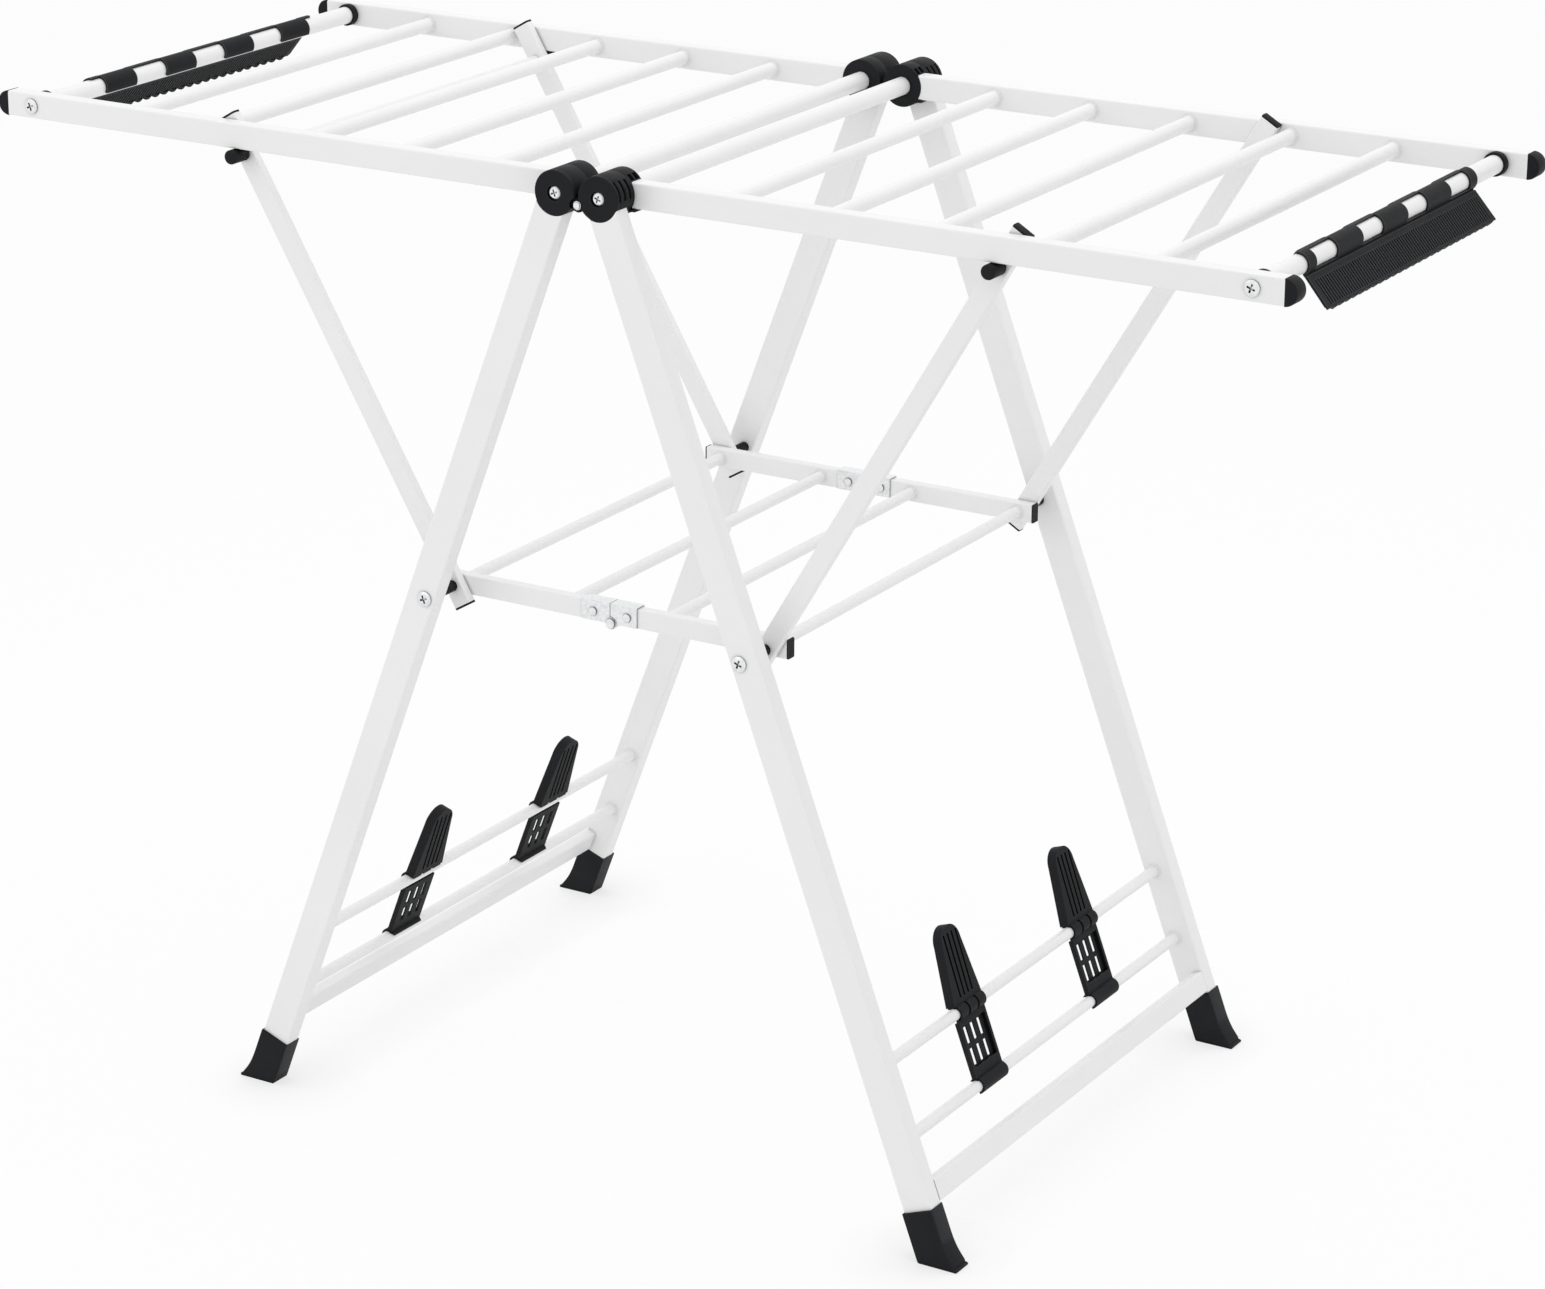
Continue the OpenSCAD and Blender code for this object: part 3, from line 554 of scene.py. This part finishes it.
def prism(bm, outline, low, high, sign):
    """A solid on an outline of x and z in mm, between two distances along Y. sign -1 turns it
    to the left side of the rack."""
    face = bm.faces.new([bm.verts.new((sign * x * MM, low * MM, z * MM)) for x, z in outline])
    grown = bmesh.ops.extrude_face_region(bm, geom=[face])["geom"]
    far = [part for part in grown if isinstance(part, bmesh.types.BMVert)]
    bmesh.ops.translate(bm, vec=(0, (high - low) * MM, 0), verts=far)


def mesh_object(name, bm):
    """A new object in the scene with the mesh built so far."""
    bmesh.ops.recalc_face_normals(bm, faces=bm.faces)
    mesh = bpy.data.meshes.new(name)
    bm.to_mesh(mesh)
    bm.free()
    piece = bpy.data.objects.new(name, mesh)
    bpy.context.scene.collection.objects.link(piece)
    return piece


def cut(piece, tool):
    """Takes the tool's shape out of a piece and drops the tool."""
    carve = piece.modifiers.new("carve", "BOOLEAN")
    carve.operation = "DIFFERENCE"
    carve.solver = "EXACT"
    carve.object = tool
    graph = bpy.context.evaluated_depsgraph_get()
    carved = bpy.data.meshes.new_from_object(piece.evaluated_get(graph))
    piece.modifiers.clear()
    piece.data = carved
    bpy.data.objects.remove(tool)


def boots(side, sign, radius):
    """Both boots of one side of the rack, with edges of that radius."""
    lean = math.radians(LEG_LEAN)
    along = Vector((-math.sin(lean), math.cos(lean)))
    across = Vector((math.cos(lean), math.sin(lean)))
    ground = Vector((LEG_FOOT, 0.0))
    half = LEG_WIDTH / 2 + BOOT_WALL
    back, front, top = -half * across, half * across, ground + BOOT_LENGTH * along
    # The heel wall runs down along the leg
    heel_low = ground + back + HEEL_RISE * along
    outline = [
        top + back,
        top + front,
        *[(LEG_FOOT + front.x + x, z) for x, z in TOE_SWEEP],
        *[(LEG_FOOT + TOE + x, z) for x, z in TOE_LIP],
        (LEG_FOOT - HEEL, 0.0),
        (LEG_FOOT - HEEL - HEEL_STEP[0], HEEL_STEP[1]),
        heel_low,
    ]
    bm = bmesh.new()
    for end in (-1, 1):
        prism(bm, outline, end * BOOT_FACES[0], end * BOOT_FACES[1], sign)
    bmesh.ops.recalc_face_normals(bm, faces=bm.faces)
    # Only the edges of the two flat sides are rounded
    rims = [edge for edge in bm.edges if abs(edge.verts[0].co.y - edge.verts[1].co.y) < MM / 10]
    bmesh.ops.bevel(
        bm,
        geom=rims,
        offset=radius,
        offset_type="OFFSET",
        affect="EDGES",
        segments=4,
        profile=0.5,
        material=-1,
        clamp_overlap=True,
    )
    piece = mesh_object(f"boots_{side}", bm)
    # The socket for the leg is open at the top
    bm = bmesh.new()
    seat = (LEG_WIDTH / 2 + BOOT_PLAY) * across
    low, high = ground + LEG_END * along, ground + 2 * BOOT_LENGTH * along
    socket = [low - seat, low + seat, high + seat, high - seat]
    for end in (-1, 1):
        inner, outer = end * (LEG_FACES[0] - BOOT_PLAY), end * (LEG_FACES[1] + BOOT_PLAY)
        prism(bm, socket, inner, outer, sign)
    cut(piece, mesh_object("boot_socket", bm))
    shade(piece.data, angle=30)
    return piece


def coat(nodes, material):
    """Gives solids a material and leaves their shapes alone."""
    for node in nodes:
        for part in SOLIDS[node].material_slots:
            part.material = material


def both(*stems):
    """Left and right solids of each stem."""
    return [f"{stem}_{side}" for stem in stems for side in ("left", "right")]


# ---- Properties --------------------------------------------------------------


class RackColours(bpy.types.PropertyGroup):
    """Colours of the rack and of its stage."""

    paint: bpy.props.FloatVectorProperty(
        name="Paint",
        description="Powder coat on the tubes",
        subtype="COLOR",
        min=0,
        max=1,
        default=linear("#F0F0F0"),
    )
    plastic: bpy.props.FloatVectorProperty(
        name="Plastic",
        description="Moulded hinges, boots, hooks and clips",
        subtype="COLOR",
        min=0,
        max=1,
        default=linear("#1D1E20"),
    )
    zinc: bpy.props.FloatVectorProperty(
        name="Zinc",
        description="Screws, rivets and brackets",
        subtype="COLOR",
        min=0,
        max=1,
        default=linear("#F0F1F2"),
    )
    floor: bpy.props.FloatVectorProperty(
        name="Floor",
        description="Studio floor",
        subtype="COLOR",
        min=0,
        max=1,
        default=linear("#F6F6F6"),
    )


class RackSizes(bpy.types.PropertyGroup):
    """Edge radii of the moulded pieces and the size of the weld fillets."""

    boot_edge: bpy.props.FloatProperty(
        name="Boot edge",
        description="Edge radius of the boots",
        unit="LENGTH",
        default=1.1 * MM,
        min=0.2 * MM,
    )
    cap_edge: bpy.props.FloatProperty(
        name="Cap edge",
        description="Edge radius of the end caps and rod caps",
        unit="LENGTH",
        default=1.6 * MM,
        min=0.2 * MM,
    )
    hinge_edge: bpy.props.FloatProperty(
        name="Hinge edge",
        description="Edge radius of the sockets, collars and strut plugs",
        unit="LENGTH",
        default=0.6 * MM,
        min=0.1 * MM,
    )
    weld: bpy.props.FloatProperty(
        name="Weld",
        description="Leg length of the weld fillets",
        unit="LENGTH",
        default=1.3 * MM,
        min=0.3 * MM,
    )


class RackStage(bpy.types.PropertyGroup):
    """Camera and lamps."""

    lens: bpy.props.FloatProperty(
        name="Lens",
        description="Focal length of the camera in millimetres",
        default=106.23,
        min=20,
    )
    sky: bpy.props.FloatProperty(
        name="Sky",
        description="Strength of the even light all round",
        default=0.87,
        min=0,
    )
    key: bpy.props.FloatProperty(
        name="Key",
        description="Power of the main lamp in watts",
        default=22,
        min=0,
    )
    fill: bpy.props.FloatProperty(
        name="Fill",
        description="Power of the second lamp in watts",
        default=10,
        min=0,
    )


# ---- Operators ---------------------------------------------------------------


class RACK_OT_tubes(bpy.types.Operator):
    """Powder coats every steel tube of the legs, wings, struts and shelf"""

    bl_idname = "rack.tubes"
    bl_label = "Tubes"

    def execute(self, context):
        stems = (
            "legs", "leg_rungs", "crossbar", "cross_tube", "wing_rungs", "end_bar", "struts", "cross_rod",
            "shelf_rails", "shelf_rungs",
        )
        rails = [f"rail_{side}_{end}" for side in ("left", "right") for end in ("near", "far")]
        coat(both(*stems) + rails, white(context))
        return {"FINISHED"}


class RACK_OT_welds(bpy.types.Operator):
    """Small weld fillets where the rungs meet the rails and legs"""

    bl_idname = "rack.welds"
    bl_label = "Weld fillets"

    def execute(self, context):
        size = context.scene.rack_sizes.weld / MM
        for side, sign in (("left", -1), ("right", 1)):
            for body, material_node, radius, face, places in WELDS:
                bm = bmesh.new()
                for x, z in places:
                    for end in (-1, 1):
                        weld_bead(bm, (sign * x, end * face, z), radius, end, size)
                beads = mesh_object(f"weld_beads_{material_node}_{side}", bm)
                shade(beads.data)
                beads.data.materials.append(white(context))
                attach(beads, body.format(side=side))
        return {"FINISHED"}


class RACK_OT_hinges(bpy.types.Operator):
    """Leg sockets, rail sockets, discs and collars in moulded plastic"""

    bl_idname = "rack.hinges"
    bl_label = "Hinges and collars"

    def execute(self, context):
        sizes = context.scene.rack_sizes
        for node in both("leg_sockets", "rail_sockets", "collars"):
            soften(node, sizes.hinge_edge, black(context))
        coat(both("hinge_discs", "spacers"), black(context))
        return {"FINISHED"}


class RACK_OT_boots(bpy.types.Operator):
    """Boots with rounded sides, a lip at the toe and a full heel wall"""

    bl_idname = "rack.boots"
    bl_label = "Boots"

    def execute(self, context):
        radius = context.scene.rack_sizes.boot_edge
        for side, sign in (("left", -1), ("right", 1)):
            piece = boots(side, sign, radius)
            piece.data.materials.clear()
            piece.data.materials.append(black(context))
            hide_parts(f"feet_{side}")
            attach(piece, f"{side}_leg_frame")
        return {"FINISHED"}


class RACK_OT_caps(bpy.types.Operator):
    """End caps, rod caps and strut plugs with rounded edges, and shelf plugs with the edges of the solid
    """

    bl_idname = "rack.caps"
    bl_label = "Caps and plugs"

    def execute(self, context):
        sizes = context.scene.rack_sizes
        for node in both("end_caps", "rod_caps"):
            soften(node, sizes.cap_edge, black(context), segments=3)
        for node in both("strut_plugs"):
            soften(node, sizes.hinge_edge, black(context))
        coat(both("shelf_plugs"), black(context))
        return {"FINISHED"}


class RACK_OT_hooks(bpy.types.Operator):
    """Shoe hooks in moulded plastic, with the edges of the solid"""

    bl_idname = "rack.hooks"
    bl_label = "Shoe hooks"

    def execute(self, context):
        coat(both("shoe_hooks"), black(context))
        return {"FINISHED"}


class RACK_OT_combs(bpy.types.Operator):
    """Comb clips on the end bars"""

    bl_idname = "rack.combs"
    bl_label = "Comb clips"

    def execute(self, context):
        coat(both("comb_clip"), ribbed(context))
        return {"FINISHED"}


class RACK_OT_brackets(bpy.types.Operator):
    """Pressed shelf brackets in zinc, with the edges of the solid"""

    bl_idname = "rack.brackets"
    bl_label = "Shelf brackets"

    def execute(self, context):
        coat(both("bracket"), zinc(context))
        return {"FINISHED"}


class RACK_OT_fasteners(bpy.types.Operator):
    """Zinc screws, bolts and rivets"""

    bl_idname = "rack.fasteners"
    bl_label = "Screws, bolts and rivets"

    def execute(self, context):
        nodes = both("hinge_screws", "pivot_bolts", "end_screws", "bracket_rivets")
        coat(nodes + ["hinge_rivets", "shelf_pivots"], zinc(context))
        return {"FINISHED"}


class RACK_OT_stage(bpy.types.Operator):
    """Floor, soft lamps and camera"""

    bl_idname = "rack.stage"
    bl_label = "Stage"

    def execute(self, context):
        scene = context.scene
        stage = scene.rack_stage

        bm = bmesh.new()
        bmesh.ops.create_grid(bm, x_segments=1, y_segments=1, size=FLOOR_REACH)
        mesh = bpy.data.meshes.new("studio_floor")
        bm.to_mesh(mesh)
        bm.free()
        mesh.materials.append(painted_floor(scene.rack_colours.floor))
        floor = bpy.data.objects.new("studio_floor", mesh)
        scene.collection.objects.link(floor)

        world = bpy.data.worlds.new("studio_air")
        world.use_nodes = True
        tree = world.node_tree
        tree.nodes.clear()
        air = add(tree, "ShaderNodeBackground", {"Color": (1, 1, 1, 1), "Strength": stage.sky})
        backdrop = add(tree, "ShaderNodeBackground", {"Color": (1, 1, 1, 1), "Strength": 1.0})
        mixed = add(
            tree,
            "ShaderNodeMixShader",
            {0: seen_straight(tree), 1: air.outputs["Background"], 2: backdrop.outputs["Background"]},
        )
        add(tree, "ShaderNodeOutputWorld", {"Surface": mixed.outputs["Shader"]})
        scene.world = world

        # Name, power, side and place of each lamp
        lamps = (
            ("key_lamp", stage.key, 3.0, (0.2, 0.7, 3.6)),
            ("fill_lamp", stage.fill, 2.6, (-1.6, -3.2, 1.9)),
        )
        for name, power, size, spot in lamps:
            data = bpy.data.lights.new(name, "AREA")
            data.energy = power
            data.size = size
            lamp = bpy.data.objects.new(name, data)
            lamp.location = spot
            lamp.rotation_euler = (LAMP_AIM - Vector(spot)).to_track_quat("-Z", "Y").to_euler()
            scene.collection.objects.link(lamp)

        data = bpy.data.cameras.new("rack_camera")
        data.sensor_fit = "HORIZONTAL"
        data.sensor_width = 36
        data.lens = stage.lens
        data.shift_x, data.shift_y = CAMERA_SHIFT
        data.clip_end = 60
        camera = bpy.data.objects.new("rack_camera", data)
        camera.location = CAMERA_PLACE
        turn = Euler((math.radians(90 - CAMERA_DOWN), 0, math.radians(CAMERA_ROUND)), "XYZ")
        roll = Matrix.Rotation(math.radians(CAMERA_ROLL), 3, "Z")
        camera.rotation_euler = (turn.to_matrix() @ roll).to_euler()
        scene.collection.objects.link(camera)
        scene.camera = camera
        scene.view_settings.view_transform = "Standard"
        return {"FINISHED"}


# ---- Panel and registration --------------------------------------------------

OPERATORS = (
    RACK_OT_tubes,
    RACK_OT_welds,
    RACK_OT_hinges,
    RACK_OT_boots,
    RACK_OT_caps,
    RACK_OT_hooks,
    RACK_OT_combs,
    RACK_OT_brackets,
    RACK_OT_fasteners,
    RACK_OT_stage,
)


class RACK_PT_sidebar(bpy.types.Panel):
    """Lists the rack's pieces, sizes and colours"""

    bl_idname = "RACK_PT_sidebar"
    bl_label = "Drying rack"
    bl_space_type = "VIEW_3D"
    bl_region_type = "UI"
    bl_category = "Drying rack"

    def draw(self, context):
        layout = self.layout
        for operator in OPERATORS:
            layout.operator(operator.bl_idname)
        for group in (context.scene.rack_colours, context.scene.rack_sizes, context.scene.rack_stage):
            box = layout.box()
            for name in group.__annotations__:
                box.prop(group, name)


GROUPS = {"rack_colours": RackColours, "rack_sizes": RackSizes, "rack_stage": RackStage}


def register():
    for cls in (*GROUPS.values(), *OPERATORS, RACK_PT_sidebar):
        bpy.utils.register_class(cls)
    for name, group in GROUPS.items():
        setattr(bpy.types.Scene, name, bpy.props.PointerProperty(type=group))


def unregister():
    for name in GROUPS:
        delattr(bpy.types.Scene, name)
    for cls in reversed((*GROUPS.values(), *OPERATORS, RACK_PT_sidebar)):
        bpy.utils.unregister_class(cls)


def main():
    register()
    bpy.ops.rack.tubes()
    bpy.ops.rack.welds()
    bpy.ops.rack.hinges()
    bpy.ops.rack.boots()
    bpy.ops.rack.caps()
    bpy.ops.rack.hooks()
    bpy.ops.rack.combs()
    bpy.ops.rack.brackets()
    bpy.ops.rack.fasteners()
    bpy.ops.rack.stage()


if __name__ == "__main__":
    main()
